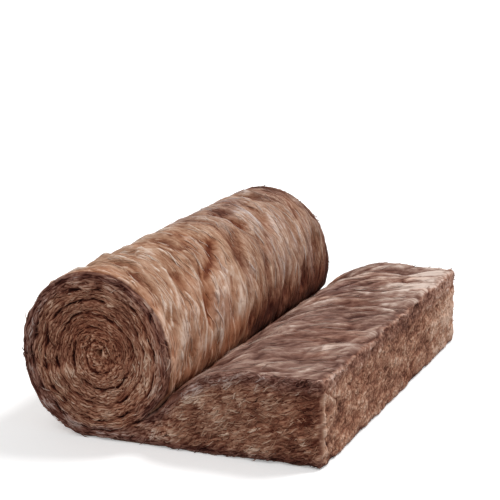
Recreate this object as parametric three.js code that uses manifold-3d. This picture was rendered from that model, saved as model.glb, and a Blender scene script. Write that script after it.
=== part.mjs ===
// A roll of glass mineral wool blanket, partly rolled out on a level floor.
//
// It is one strip of wool. Most of it is still wound up and pressed thin, and the free end has swollen
// back to its full thickness. Millimetres, +Z up. The roll's axis is along Y and the free end runs out
// along +X. The origin is on the floor, under the middle of the object.
import * as THREE from "three";
import { mergeVertices } from "three/addons/utils/BufferGeometryUtils.js";
import Module from "manifold-3d";

const wasm = await Module();
wasm.setup();

// The blanket.
const BLANKET_WIDTH = 1200;
const FULL_THICKNESS = 240; // where it lies free
const TURN_THICKNESS = 42; // where it is wound up
const SIDE_EDGE_ROUNDING = 12; // a sawn edge of wool is soft
const CUT_TOP_ROUNDING = 18;
const CUT_FLOOR_ROUNDING = 13;

// The wound part, a slightly oval cylinder that its own weight flattens where it stands.
const ROLL_HALF_WIDTH = 222;
const ROLL_HALF_HEIGHT = 233;
const AXIS_HEIGHT = 228;

// The free end, measured from the roll's axis.
const FREE_REACH = 640;
const FULL_THICKNESS_FROM = 440; // the pressed wool has recovered here

// The nip, where the roll sits in the blanket that leaves it.
const NIP_ANGLE = -0.35; // radians below the roll's widest point
const NIP_MOUTH = 12;
const NIP_DEPTH_TURNS = 0.045;

// The seam between one turn and the next, as it shows on the two ends.
const SEAM_DEPTH = 20;
const SEAM_HALF_WIDTH = 10;
const SEAM_WAIST_DEPTH = 7; // the turns are rounded off: the seam is already narrow at this depth
const SEAM_WAIST_HALF_WIDTH = 3.2;
const SEAM_STEPS_PER_TURN = 32;
const CORE_RADIUS = 20;
const NIP_STEP = 0.62; // share of a turn's thickness that the seam drops just behind the nip
const NIP_STEP_TURNS = 0.07; // how soon it drops
const NIP_STEP_FADES = 1.2; // turns after which the step has evened out

// The inner turns have slipped a little, so that both ends are dished.
const DISH_DEPTH = 26;
const DISH_RADIUS = 196;
const DISH_FLAT_RADIUS = 46;
const CORE_HOLLOW_RADIUS = 15; // the first fold of the strip leaves a small hollow at each end
const CORE_HOLLOW_FLOOR_RADIUS = 10;
const CORE_HOLLOW_DEPTH = 40;
const DISH_SIDES = 36;
const DISH_STEPS = 6;

// The broad soft folds of the skin, on the outside of the roll and on top of the free part. Each is a
// wave, and where the waves together fall below zero they sink the wool. A heading is in degrees from
// straight along the strip, and a start is a share of the spacing.
const ROLL_FOLDS = [
  { spacing: 130, heading: 16, start: 0.82, depth: 9 },
  { spacing: 190, heading: -8, start: 0.91, depth: 5 },
  { spacing: 300, heading: 75, start: 0.57, depth: 5 },
  { spacing: 130, heading: 52, start: 0.96, depth: 5 },
  { spacing: 180, heading: -12, start: 0.16, depth: 4 },
];
const TOP_FOLDS = [
  { spacing: 210, heading: 23, start: 0.89, depth: 9 },
  { spacing: 115, heading: 31, start: 0.1, depth: 6 },
  { spacing: 260, heading: 70, start: 0.3, depth: 4 },
  { spacing: 170, heading: -40, start: 0.35, depth: 4 },
];
const FOLD_FADE_START = 14; // the folds die out towards the edges, the floor and the nip
const FOLD_FADE_END = 80;

const ROLL_RADIUS = (ROLL_HALF_WIDTH + ROLL_HALF_HEIGHT) / 2;
const AXIS_X = (ROLL_HALF_WIDTH - FREE_REACH) / 2;
const HALF_WIDTH = BLANKET_WIDTH / 2;
const CORNER_SEGMENTS = 4;
const TOP_SEGMENTS = 4;
const SWELLING_SEGMENTS = 9;
const OUTSIDE_SEGMENTS = 42;
const ACROSS_SEGMENTS = 22;
const CLEAR = 30; // how far a cutting tool stands out of what it cuts

// The seam's distance from the axis, as a share of the roll's radius, after so many turns from the nip.
function seamShare(turns) {
  const step = NIP_STEP * (1 - Math.exp(-turns / NIP_STEP_TURNS)) * Math.exp(-turns / NIP_STEP_FADES);
  return 1 - (TURN_THICKNESS * (turns + step)) / ROLL_RADIUS;
}

// A point of the winding, in the XZ plane: an angle about the roll's axis and a share of its radius.
function windingPoint(angle, share) {
  return new THREE.Vector2(
    AXIS_X + ROLL_HALF_WIDTH * share * Math.cos(angle),
    AXIS_HEIGHT + ROLL_HALF_HEIGHT * share * Math.sin(angle),
  );
}

function seamPoint(turns) {
  return windingPoint(NIP_ANGLE - 2 * Math.PI * turns, seamShare(turns));
}

function dishDepth(radius) {
  const t = THREE.MathUtils.clamp((DISH_RADIUS - radius) / (DISH_RADIUS - DISH_FLAT_RADIUS), 0, 1);
  return DISH_DEPTH * THREE.MathUtils.smoothstep(t, 0, 1);
}

// The seam on one end, from the nip to the core. end is -1 or 1, for the end on that side of Y.
class Seam extends THREE.Curve {
  constructor(end) {
    super();
    this.end = end;
    this.turns = this.turnsToCore();
  }

  turnsToCore() {
    let turns = 0;
    while (seamShare(turns) * ROLL_RADIUS > CORE_RADIUS) turns += 1 / SEAM_STEPS_PER_TURN;
    return turns;
  }

  getPoint(t, target = new THREE.Vector3()) {
    const turns = t * this.turns;
    const point = seamPoint(turns);
    const depth = dishDepth(seamShare(turns) * ROLL_RADIUS);
    return target.set(point.x, this.end * (HALF_WIDTH - depth), point.y);
  }
}

// A quarter turn of the outline, from straight down or straight out to a quarter turn on.
function corner(x, z, radius, from) {
  return new THREE.EllipseCurve(x, z, radius, radius, from, from + Math.PI / 2).getPoints(CORNER_SEGMENTS);
}

// The blanket seen from its edge: flat on the floor, up the cut end, back over the free part, down
// into the nip, and round the outside of the roll to where it meets the floor again.
function blanketOutline() {
  const freeEnd = AXIS_X + FREE_REACH;
  const footAngle = Math.PI + Math.asin(AXIS_HEIGHT / ROLL_HALF_HEIGHT);
  const nipTop = windingPoint(NIP_ANGLE, 1);
  const nipMouth = new THREE.Vector2(nipTop.x + NIP_MOUTH, nipTop.y);
  const recovered = new THREE.Vector2(AXIS_X + FULL_THICKNESS_FROM, FULL_THICKNESS);
  const cutEdge = new THREE.Vector2(freeEnd - CUT_TOP_ROUNDING, FULL_THICKNESS);
  const top = new THREE.LineCurve(cutEdge, recovered);
  const shoulder = new THREE.Vector2((nipTop.x + recovered.x) / 2 - 2 * NIP_MOUTH, FULL_THICKNESS);
  const swelling = new THREE.QuadraticBezierCurve(recovered, shoulder, nipMouth);
  const outside = new THREE.EllipseCurve(
    AXIS_X,
    AXIS_HEIGHT,
    ROLL_HALF_WIDTH,
    ROLL_HALF_HEIGHT,
    NIP_ANGLE,
    footAngle,
  );
  return new THREE.Shape([
    ...corner(freeEnd - CUT_FLOOR_ROUNDING, CUT_FLOOR_ROUNDING, CUT_FLOOR_ROUNDING, -Math.PI / 2),
    ...corner(freeEnd - CUT_TOP_ROUNDING, FULL_THICKNESS - CUT_TOP_ROUNDING, CUT_TOP_ROUNDING, 0),
    ...top.getPoints(TOP_SEGMENTS).slice(1, -1),
    ...swelling.getPoints(SWELLING_SEGMENTS),
    seamPoint(NIP_DEPTH_TURNS),
    ...outside.getPoints(OUTSIDE_SEGMENTS),
  ]);
}

// 0 where any of the distances is small, rising to 1 where all of them are large.
function foldFade(...distances) {
  return THREE.MathUtils.smoothstep(Math.min(...distances), FOLD_FADE_START, FOLD_FADE_END);
}

// How far the folds have sunk the skin, at a place along the strip and across it.
function foldDepth(folds, along, across) {
  let total = 0;
  for (const { spacing, heading, start, depth } of folds) {
    const turn = THREE.MathUtils.degToRad(heading);
    const place = across * Math.cos(turn) - along * Math.sin(turn);
    total -= depth * Math.sin(2 * Math.PI * (place / spacing + start));
  }
  return Math.max(total, 0);
}

// Sinks the skin of the roll towards its axis, and the free part's top downwards. Round the roll, the
// way along the strip is measured from straight below the axis.
function foldSkin(geometry) {
  const nip = windingPoint(NIP_ANGLE, 1);
  const points = geometry.attributes.position;
  const point = new THREE.Vector3();
  for (let i = 0; i < points.count; i++) {
    point.fromBufferAttribute(points, i);
    const side = HALF_WIDTH - Math.abs(point.y);
    const fromNip = Math.hypot(point.x - nip.x, point.z - nip.y);
    if (point.x > nip.x && point.z > nip.y) {
      const fade = foldFade(side, AXIS_X + FREE_REACH - point.x, fromNip);
      point.z -= fade * foldDepth(TOP_FOLDS, point.x, point.y);
    } else {
      const fromAxis = new THREE.Vector2(point.x - AXIS_X, point.z - AXIS_HEIGHT);
      const along = ROLL_RADIUS * new THREE.Vector2(-fromAxis.y, fromAxis.x).angle();
      const sunk = foldFade(side, point.z, fromNip) * foldDepth(ROLL_FOLDS, along, point.y);
      fromAxis.multiplyScalar(1 - sunk / ROLL_RADIUS);
      point.x = AXIS_X + fromAxis.x;
      point.z = AXIS_HEIGHT + fromAxis.y;
    }
    points.setXYZ(i, point.x, point.y, point.z);
  }
  return geometry;
}

// The strip itself, with softened edges along both ends.
function blanketBody() {
  const geometry = new THREE.ExtrudeGeometry(blanketOutline(), {
    depth: BLANKET_WIDTH - 2 * SIDE_EDGE_ROUNDING,
    steps: ACROSS_SEGMENTS,
    bevelThickness: SIDE_EDGE_ROUNDING,
    bevelSize: SIDE_EDGE_ROUNDING,
    bevelOffset: -SIDE_EDGE_ROUNDING,
    bevelSegments: 3,
  });
  // Drawn in XY and extruded along +Z, it is stood up so that its outline is in the XZ plane.
  return foldSkin(geometry.rotateX(Math.PI / 2).translate(0, HALF_WIDTH - SIDE_EDGE_ROUNDING, 0));
}

// A cusp swept along the seam: turns swell out on both sides of it.
function seamTool(end) {
  const section = new THREE.Shape();
  const side = SEAM_HALF_WIDTH;
  section.moveTo(end * SEAM_DEPTH, 0);
  section.lineTo(end * SEAM_WAIST_DEPTH, SEAM_WAIST_HALF_WIDTH);
  section.lineTo(0, side);
  section.lineTo(-end * CLEAR, side);
  section.lineTo(-end * CLEAR, -side);
  section.lineTo(0, -side);
  section.lineTo(end * SEAM_WAIST_DEPTH, -SEAM_WAIST_HALF_WIDTH);
  section.closePath();
  const path = new Seam(end);
  return new THREE.ExtrudeGeometry(section, {
    steps: Math.round(path.turns * SEAM_STEPS_PER_TURN),
    extrudePath: path,
  });
}

// The shallow dish of one end, turned about the roll's axis.
function dishTool(end) {
  const profile = [new THREE.Vector2(0, -CLEAR)];
  for (let step = 0; step <= DISH_STEPS; step++) {
    const radius = DISH_RADIUS - (step / DISH_STEPS) * (DISH_RADIUS - DISH_FLAT_RADIUS);
    if (step === 0) profile.push(new THREE.Vector2(radius, -CLEAR));
    profile.push(new THREE.Vector2(radius, dishDepth(radius)));
  }
  profile.push(new THREE.Vector2(CORE_HOLLOW_RADIUS, DISH_DEPTH));
  profile.push(new THREE.Vector2(CORE_HOLLOW_FLOOR_RADIUS, DISH_DEPTH + CORE_HOLLOW_DEPTH));
  profile.push(new THREE.Vector2(0, DISH_DEPTH + CORE_HOLLOW_DEPTH));
  const geometry = new THREE.LatheGeometry(profile, DISH_SIDES);
  geometry.scale(ROLL_HALF_WIDTH / ROLL_RADIUS, 1, ROLL_HALF_HEIGHT / ROLL_RADIUS);
  if (end > 0) geometry.rotateX(Math.PI);
  return geometry.translate(AXIS_X, end * HALF_WIDTH, AXIS_HEIGHT);
}

function solidOf(geometry) {
  const bare = geometry.clone();
  bare.deleteAttribute("normal");
  bare.deleteAttribute("uv");
  const merged = mergeVertices(bare, 1e-4);
  const solid = new wasm.Manifold(
    new wasm.Mesh({
      numProp: 3,
      vertProperties: merged.attributes.position.array,
      triVerts: merged.index.array,
    }),
  );
  return solid;
}

function geometryOf(solid) {
  const mesh = solid.getMesh();
  const geometry = new THREE.BufferGeometry();
  geometry.setAttribute("position", new THREE.BufferAttribute(mesh.vertProperties, mesh.numProp));
  geometry.setIndex(new THREE.BufferAttribute(mesh.triVerts, 1));
  geometry.computeVertexNormals();
  return geometry;
}

const blanket = solidOf(blanketBody());
const cutters = [-1, 1].flatMap((end) => [solidOf(dishTool(end)), solidOf(seamTool(end))]);
const cut = cutters.reduce((wool, cutter) => wool.subtract(cutter), blanket);

const wool = new THREE.MeshStandardMaterial({ color: 0x8f6a58, roughness: 1, metalness: 0 });
const mesh = new THREE.Mesh(geometryOf(cut), wool);
mesh.name = "wool_blanket";
const roll = new THREE.Group();
roll.add(mesh);

export default roll;
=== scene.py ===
"""A roll of glass mineral wool blanket, partly rolled out on a level floor.

The blanket is one strip of brown wool. Its surface is one closed mesh that follows the strip from its
free end, under the roll and round every turn to the core, so the turns, layers and folds run as they do
in the wound wool. Loose strands lie on it. Metres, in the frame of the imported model.
"""
import math

import bpy
import numpy as np
from mathutils import Matrix, Vector


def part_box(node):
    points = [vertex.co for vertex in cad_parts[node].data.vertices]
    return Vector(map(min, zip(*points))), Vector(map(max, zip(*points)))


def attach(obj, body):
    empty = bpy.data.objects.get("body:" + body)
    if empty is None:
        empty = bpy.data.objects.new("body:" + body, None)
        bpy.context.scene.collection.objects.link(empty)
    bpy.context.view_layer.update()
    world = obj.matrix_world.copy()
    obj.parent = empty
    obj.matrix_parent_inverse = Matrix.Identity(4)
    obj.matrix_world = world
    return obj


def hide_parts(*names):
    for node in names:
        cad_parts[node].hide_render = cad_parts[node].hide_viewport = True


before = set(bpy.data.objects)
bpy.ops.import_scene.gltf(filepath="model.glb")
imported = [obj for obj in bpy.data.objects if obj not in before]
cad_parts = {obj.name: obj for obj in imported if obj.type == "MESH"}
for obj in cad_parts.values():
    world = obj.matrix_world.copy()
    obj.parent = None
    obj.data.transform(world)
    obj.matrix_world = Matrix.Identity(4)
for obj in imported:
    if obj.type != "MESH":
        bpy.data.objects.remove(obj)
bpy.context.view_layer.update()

# ---- The blanket's shape, in the values that the solid is made with ----
CAD_LOW, CAD_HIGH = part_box("wool_blanket")
HALF_WIDTH = CAD_HIGH.y
FREE_END = CAD_HIGH.x
FULL_THICKNESS = 0.240
TURN_THICKNESS = 0.042
ROLL_HALF_WIDTH = 0.222
ROLL_HALF_HEIGHT = 0.233
AXIS_HEIGHT = 0.228
AXIS_X = CAD_LOW.x + ROLL_HALF_WIDTH
ROLL_RADIUS = (ROLL_HALF_WIDTH + ROLL_HALF_HEIGHT) / 2
FULL_THICKNESS_FROM = AXIS_X + 0.440  # the pressed wool has recovered here

NIP_ANGLE = -0.35  # radians below the roll's widest point
NIP_MOUTH = 0.012
NIP_DEPTH_TURNS = 0.06
NIP_STEP = 0.62
NIP_STEP_TURNS = 0.07
NIP_STEP_FADES = 1.2

EDGE_ROUNDING = 0.012  # round both ends of the roll and the sides of the free part
CUT_TOP_ROUNDING = 0.018
CUT_FLOOR_ROUNDING = 0.013
SEAM_DEPTH = 0.020
SEAM_HALF_WIDTH = 0.004
DISH_DEPTH = 0.026
DISH_RADIUS = 0.196
DISH_FLAT_RADIUS = 0.046
CORE_HOLLOW_RADIUS = 0.015
CORE_HOLLOW_DEPTH = 0.040
CORE_RADIUS = 0.020
CUT_FACE_FADES = 0.03  # how far in the free end's rounded shape is still followed
# The broad folds that the solid has: spacing, heading in degrees, start as a share of it, depth.
ROLL_FOLDS = [
    (0.130, 16, 0.82, 0.009),
    (0.190, -8, 0.91, 0.005),
    (0.300, 75, 0.57, 0.005),
    (0.130, 52, 0.96, 0.005),
    (0.180, -12, 0.16, 0.004),
]
TOP_FOLDS = [
    (0.210, 23, 0.89, 0.009),
    (0.115, 31, 0.10, 0.006),
    (0.260, 70, 0.30, 0.004),
    (0.170, -40, 0.35, 0.004),
]
FOLD_FADE_START, FOLD_FADE_END = 0.014, 0.080

# ---- How the wool lies ----
WANDER = 0.017  # how far the turns wander from a true spiral
WANDER_LENGTH = 0.075
CORE_CLUMP_RADIUS = 0.060
TURNED_RADIUS = 0.120  # the turned pattern of the ends is drawn at its own size at this radius
GRAIN_STEP = 0.004  # along the strip, when the way that it runs is measured
SIDE_LEAN = math.radians(20)  # how far the free part's strands rise towards the cut face
SIDE_LEAN_FROM = 0.02  # from this x on
ROLL_SLANT, TOP_SLANT = 0.25, 0.42  # how far strands drift across the blanket for each metre along it
FACES_APART = 0.02  # keeps the random patterns of the strip's two faces from being alike
PRESSED_LAYERS = [(0.0095, 0.006), (0.0047, 0.002)]  # on the roll's ends: spacing, depth
# Creases: (angle about the axis in degrees, y) or (x, y) of their points, depth, half width.
ROLL_CREASES = [
    ([(63.0, -0.067), (51.5, -0.134), (46.8, -0.168), (43.5, -0.245)], 0.007, 0.018),
    ([(27.9, -0.283), (20.1, -0.303), (12.1, -0.315)], 0.005, 0.020),
    ([(86.0, 0.140), (76.0, 0.165), (66.0, 0.172)], 0.009, 0.020),
]
TOP_CREASE = [(0.150, 0.020), (0.215, 0.045), (0.252, 0.070), (0.303, 0.055), (0.340, 0.080), (0.414, 0.085)]
TOP_CREASE_DEPTH, TOP_CREASE_HALF_WIDTH = 0.012, 0.011
# The torn flap beside the near upright corner: y and z along its lip, from the top down.
CORNER_FLAP = [
    (-0.620, 0.215), (-0.560, 0.190), (-0.505, 0.160), (-0.510, 0.125), (-0.545, 0.100), (-0.585, 0.083),
    (-0.570, 0.060), (-0.565, 0.040), (-0.590, 0.015),
]
# Patches darker or paler than the rest: where their middle is, their reach, the change of tone. On the
# roll the first is an angle about the axis and the second y, on the free part's top they are x and y.
ROLL_PATCHES = [
    (86, 0.20, 12, 0.055, -0.28),
    (92, 0.32, 9, 0.060, -0.28),
    (78, 0.50, 20, 0.060, -0.16),
    (84, 0.57, 34, 0.040, -0.16),
    (8, 0.42, 16, 0.060, -0.10),
    (14, -0.22, 14, 0.070, -0.14),
    (50, -0.36, 16, 0.080, 0.10),
    (84, -0.30, 12, 0.120, 0.08),
]
TOP_PATCHES = [
    (0.13, -0.45, 0.08, 0.05, 0.12),
    (0.33, -0.32, 0.08, 0.06, 0.14),
    (0.15, 0.27, 0.08, 0.09, -0.14),
    (0.12, -0.06, 0.12, 0.05, -0.10),
    (0.34, 0.42, 0.09, 0.12, 0.10),
]

# How high the wool's forms stand from their creases to their crests.
PILLOW_HEIGHT, BILLOW_HEIGHT = 0.006, 0.014  # on the roll, on the free part's top
BROAD_HEIGHT, LUMP_HEIGHT, BUMP_HEIGHT = 0.002, 0.0045, 0.0045
CUT_HEIGHT, TUFT_HEIGHT, FLAP_HEIGHT = 0.005, 0.003, 0.003
BUNDLE_HEIGHT, LAYER_HEIGHT, FINE_HEIGHT = 0.0035, 0.006, 0.003  # on the ends
END_LUMP_HEIGHT, CLUMP_HEIGHT = 0.007, 0.016
PUFF_MIDDLE = 0.6  # the level that puffs rise above and sink below

# How much paler crests are than creases on each face: painted light on crests, painted shade in creases.
ROLL_CONTRAST, TOP_CONTRAST, CUT_CONTRAST, END_CONTRAST, SIDE_CONTRAST = 0.5, 0.65, 0.9, 0.75, 0.50
FAR_TOP_CONTRAST = 0.4  # the top's far part has this share more
# How crests are told from creases: steps of smoothing, height in metres that counts as a lot, weight.
CREST_SCALES = [(2, 0.0007, 0.35), (10, 0.0028, 0.45), (60, 0.0110, 0.40)]

# ---- The loose strands: where they lie, how many to the square metre, and their sizes ----
STRAND_STATIONS = 5
STRAND_BEND = 0.8  # how much of a half wave a curled strand has to each side of its middle
STRAND_TAPER = 0.6
SMALLEST_STRAND, LARGEST_STRAND = (0.5, 0.6, 0.6), (1.4, 1.3, 1.3)  # along, across and up, as shares
STRAND_INPUTS = {
    "Mask": "String",
    "Density": "Float",
    "Length": "Float",
    "Section": "Vector",
    "Bend": "Float",
    "Curl": "Float",
    "Turn": "Vector",
    "Palest": "Float",
    "Darkest": "Float",
    "Seed": "Int",
    "Material": "Material",
}
NO_STRANDS_BELOW = 0.012  # above the floor, and on the sides this far from the cut face
ROLL_END_COVER = 0.35  # how thickly they lie on the roll's ends, as a share of the free part's sides
SAWN_STRANDS = dict(
    density=16000, length=0.028, section=(0.0036, 0.0008, 1), bend=0.001, curl=0.004, turn=(0.15, 0.08, 0.4),
    darkest=-0.8, palest=1.0,
)
CUT_STRANDS = dict(
    density=6000, length=0.016, section=(0.0028, 0.0008, 1), bend=0.001, curl=0.004, turn=(0.15, 0.15, 1.6),
    darkest=-0.4, palest=1.0,
)
LONG_WISPS = dict(
    length=0.070, section=(0.0030, 0.0010, 1), bend=0.001, curl=0.006, turn=(0.05, 0.02, 0.15),
    darkest=0.5, palest=2.5,
)
LOOSE_STRANDS = {
    "near_end_strands": dict(mask="on_near_end", seed=1, **SAWN_STRANDS),
    "far_end_strands": dict(mask="on_far_end", seed=2, **SAWN_STRANDS),
    "cut_face_strands": dict(mask="on_cut_face", seed=3, **CUT_STRANDS),
    "roll_strands": dict(mask="on_roll", density=700, seed=4, **LONG_WISPS),
    "top_face_strands": dict(mask="on_top_face", density=500, seed=5, **LONG_WISPS),
}

# ---- How finely the surface is made, before it is thinned ----
COLUMNS_PER_TURN = 160
TURN_ROWS = 24
FREE_ROWS = 3 * TURN_ROWS
FREE_COLUMN_STEP = 0.006
FINE_ROWS_ABOVE = 0.075  # the strip has its full number of rows where it is thicker than this
CORE_RINGS = 10
CROSS_STEP = 0.004  # across the blanket's width
MOST_TRIANGLES = 196_000  # of one piece

# ---- The camera and the light ----
CAMERA_PLACE = Vector((1.742, -4.124, 1.493))
CAMERA_AZIMUTH, CAMERA_ELEVATION, CAMERA_ROLL = 23.08, 13.73, -0.71  # degrees
CAMERA_LENS, CAMERA_SENSOR = 114.6, 36.0  # millimetres
LAMPS = [  # name, the way it lies in, strength, the degrees that its disc takes up
    ("key", (0.45, 0.50, 0.85), 2.1, 20),
    ("fill", (-0.25, -0.80, 0.90), 0.95, 40),
]
SKY_STRENGTH = 0.36
FLOOR_HALF_SIDE = 40.0
FLOOR_DROP = 0.0005
FLOOR_GREY, WHITE = (0.5, 0.5, 0.5, 1), (1, 1, 1, 1)
FLOOR_GLOW = 0.30  # keeps the floor white where it is seen, with a soft shadow


# ---------------------------------------------------------------- smooth random fields
class Field:
    """Smooth random values in space, from -1 to 1, the same on every run."""

    CELLS = 256
    REACH = 1.6  # stretches the values to about -1 and 1

    def __init__(self, seed):
        order = np.random.default_rng(seed)
        self.shuffled = np.tile(order.permutation(self.CELLS), 2)
        slopes = order.normal(size=(self.CELLS, 3))
        self.slopes = slopes / np.linalg.norm(slopes, axis=1, keepdims=True)

    def __call__(self, places):
        cell = np.floor(places).astype(np.int64)
        inside = places - cell
        ease = inside**3 * (inside * (inside * 6 - 15) + 10)
        total = np.zeros(len(places))
        for corner in np.ndindex(2, 2, 2):
            i, j, k = ((cell + corner) % self.CELLS).T
            slope = self.slopes[self.shuffled[self.shuffled[self.shuffled[i] + j] + k]]
            share = np.prod(np.where(corner, ease, 1 - ease), axis=1)
            total += share * np.sum(slope * (inside - corner), axis=1)
        return self.REACH * total

    def cloud(self, octaves, *place, gain=0.5, finer=2.03, shift=17.3, shape=lambda values: values):
        """Finer and finer fields added up, at places whose three coordinates are given."""
        places, total, size = stacked(*place), 0.0, 1.0
        for octave in range(octaves):
            total = total + size * shape(self(places * finer**octave + shift * octave))
            size *= gain
        return total / ((1 - gain**octaves) / (1 - gain))

    def puffs(self, octaves, *place, gain=0.5, sharp=4.0):
        """Broad round crests with narrow creases between them, from 0 in a crease to 1 on a crest."""

        def crests(values):
            return 1 - np.exp(-sharp * np.abs(values))

        return self.cloud(octaves, *place, gain=gain, finer=2.07, shift=31.7, shape=crests)


# Each field has a seed of its own, so that their patterns have nothing in common.
BROAD, FOLDS, FINE, DRIFT = Field(3), Field(5), Field(8), Field(13)
WANDER_X, WANDER_Z, RAGGED = Field(21), Field(22), Field(31)


def smooth(low, high, values):
    """0 up to one value and 1 from the other on, with an even rise between them."""
    t = np.clip((values - low) / (high - low), 0, 1)
    return t * t * (3 - 2 * t)


def bell(values, width, power=2):
    """1 where the values are 0, falling off to both sides."""
    return np.exp(-((values / width) ** power))


def stacked(*columns):
    return np.stack(np.broadcast_arrays(*columns), axis=1)


def distance_to_line(places, line):
    """How far each place is from a line through these points."""
    nearest = np.full(len(places), np.inf)
    for start, end in zip(line[:-1], line[1:]):
        step = end - start
        offset = places - start
        t = np.clip(offset @ step / (step @ step), 0, 1)
        nearest = np.minimum(nearest, np.linalg.norm(offset - t[:, None] * step, axis=1))
    return nearest


# ---------------------------------------------------------------- the strip and its winding
def on_winding(angle, share):
    """A point of the winding, from an angle about the roll's axis and a share of its radius."""
    x = AXIS_X + ROLL_HALF_WIDTH * share * np.cos(angle)
    z = AXIS_HEIGHT + ROLL_HALF_HEIGHT * share * np.sin(angle)
    return np.stack([x, z], axis=-1)


def seam_share(turns):
    """The share of the roll's radius that the seam lies at, this many turns in from the nip."""
    step = NIP_STEP * (1 - np.exp(-turns / NIP_STEP_TURNS)) * np.exp(-turns / NIP_STEP_FADES)
    return 1 - TURN_THICKNESS * (turns + step) / ROLL_RADIUS


def seam(turns):
    """The seam between one turn and the next, this many turns in from the nip."""
    return on_winding(NIP_ANGLE - 2 * math.pi * turns, seam_share(turns))


def turns_to_core():
    """How many turns there are from the nip to the core, in whole columns."""
    turns = 0.0
    while seam_share(turns) * ROLL_RADIUS > CORE_RADIUS:
        turns += 1 / COLUMNS_PER_TURN
    return turns


def free_top(nip_edge, count=200):
    """The top of the free part, from where the wool has recovered down to the nip, as points."""
    start = np.array([FULL_THICKNESS_FROM, FULL_THICKNESS])
    bend = np.array([(nip_edge[0] + start[0]) / 2 - 2 * NIP_MOUTH, FULL_THICKNESS])
    t = np.linspace(0, 1, count)[:, None]
    return (1 - t) ** 2 * start + 2 * t * (1 - t) * bend + t**2 * nip_edge


class Strip:
    """The blanket seen from its edge, as columns across its thickness from the free end to the core.

    A column's outer end is on the face that lies on the floor, and its inner end on the other face.
    """

    def __init__(self):
        outer, inner = self.wound_part()
        free_outer, free_inner, self.free_bow = self.free_part(inner[0])
        self.free_columns = len(free_inner)
        self.outer = np.vstack([free_outer, outer])
        self.inner = np.vstack([free_inner, inner])
        self.middle = (self.outer + self.inner) / 2
        self.thickness = np.linalg.norm(self.inner - self.outer, axis=1)
        self.along = np.concatenate([[0], np.cumsum(np.linalg.norm(np.diff(self.middle, axis=0), axis=1))])
        # Layers are pressed closer in the roll, but less than the whole thickness is.
        self.layering = TURN_THICKNESS * np.sqrt(self.thickness / TURN_THICKNESS)
        wound = np.arange(len(self.outer)) > self.free_columns
        self.fine_columns = int(np.argmax(wound & (self.thickness < FINE_ROWS_ABOVE)))

    def wound_part(self):
        """Both ends of the columns from the nip to the core."""
        turns = np.arange(int(round(turns_to_core() * COLUMNS_PER_TURN)) + 1) / COLUMNS_PER_TURN
        angle = NIP_ANGLE - 2 * math.pi * turns
        gap = NIP_MOUTH * np.clip(1 - turns / NIP_DEPTH_TURNS, 0, 1)
        self.open_columns = int(np.count_nonzero(gap))
        inner = seam(turns) + gap[:, None] * np.stack([np.cos(angle), np.sin(angle)], axis=1)
        # The outer end: on the outside of the roll or on the floor, and further in on the last seam.
        below = np.maximum(-np.sin(angle), 1e-9)
        outer = on_winding(angle, np.minimum(1, AXIS_HEIGHT / (ROLL_HALF_HEIGHT * below)))
        outer[turns >= 1] = seam(turns[turns >= 1] - 1)
        upright = angle > -math.pi / 2
        outer[upright] = np.stack([inner[upright, 0], np.zeros(np.count_nonzero(upright))], axis=1)
        return outer, inner

    def free_part(self, nip):
        """Both ends of the columns from the cut face back to the nip, and how far each is rounded."""
        length = FREE_END - CUT_TOP_ROUNDING - nip[0]
        back = np.arange(int(length / FREE_COLUMN_STEP)) * FREE_COLUMN_STEP
        bow = np.exp(-back / CUT_FACE_FADES)
        top = free_top(nip)
        inner_x = FREE_END - back - CUT_TOP_ROUNDING * bow
        inner = np.stack([inner_x, np.interp(inner_x, top[::-1, 0], top[::-1, 1])], axis=1)
        outer = np.stack([FREE_END - back - CUT_FLOOR_ROUNDING * bow, np.zeros(len(back))], axis=1)
        return outer, inner, bow

    def along_at(self, angle):
        """How far along the strip its outer face passes this angle about the roll's axis."""
        turns = ((NIP_ANGLE - angle) / (2 * math.pi)) % 1
        return self.along[self.free_columns + int(round(turns * COLUMNS_PER_TURN))]

    def rows(self, column):
        """How many rows a column is divided into."""
        return FREE_ROWS if column < self.fine_columns else TURN_ROWS

    def points(self, column):
        """The points across one column, and each one's share of the way from the outer face."""
        share = np.linspace(0, 1, self.rows(column) + 1)[:, None]
        places = (1 - share) * self.outer[column] + share * self.inner[column]
        if column < self.free_columns:
            z = places[:, 1]
            low = np.clip(1 - z / CUT_FLOOR_ROUNDING, 0, 1)
            high = np.clip(1 - (self.inner[column, 1] - z) / CUT_TOP_ROUNDING, 0, 1)
            rounded = CUT_FLOOR_ROUNDING * (1 - np.sqrt(1 - low**2))
            rounded += CUT_TOP_ROUNDING * (1 - np.sqrt(1 - high**2))
            straight = (1 - share[:, 0]) * CUT_FLOOR_ROUNDING + share[:, 0] * CUT_TOP_ROUNDING
            places[:, 0] += (straight - rounded) * self.free_bow[column]
        return places, share[:, 0]


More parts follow.
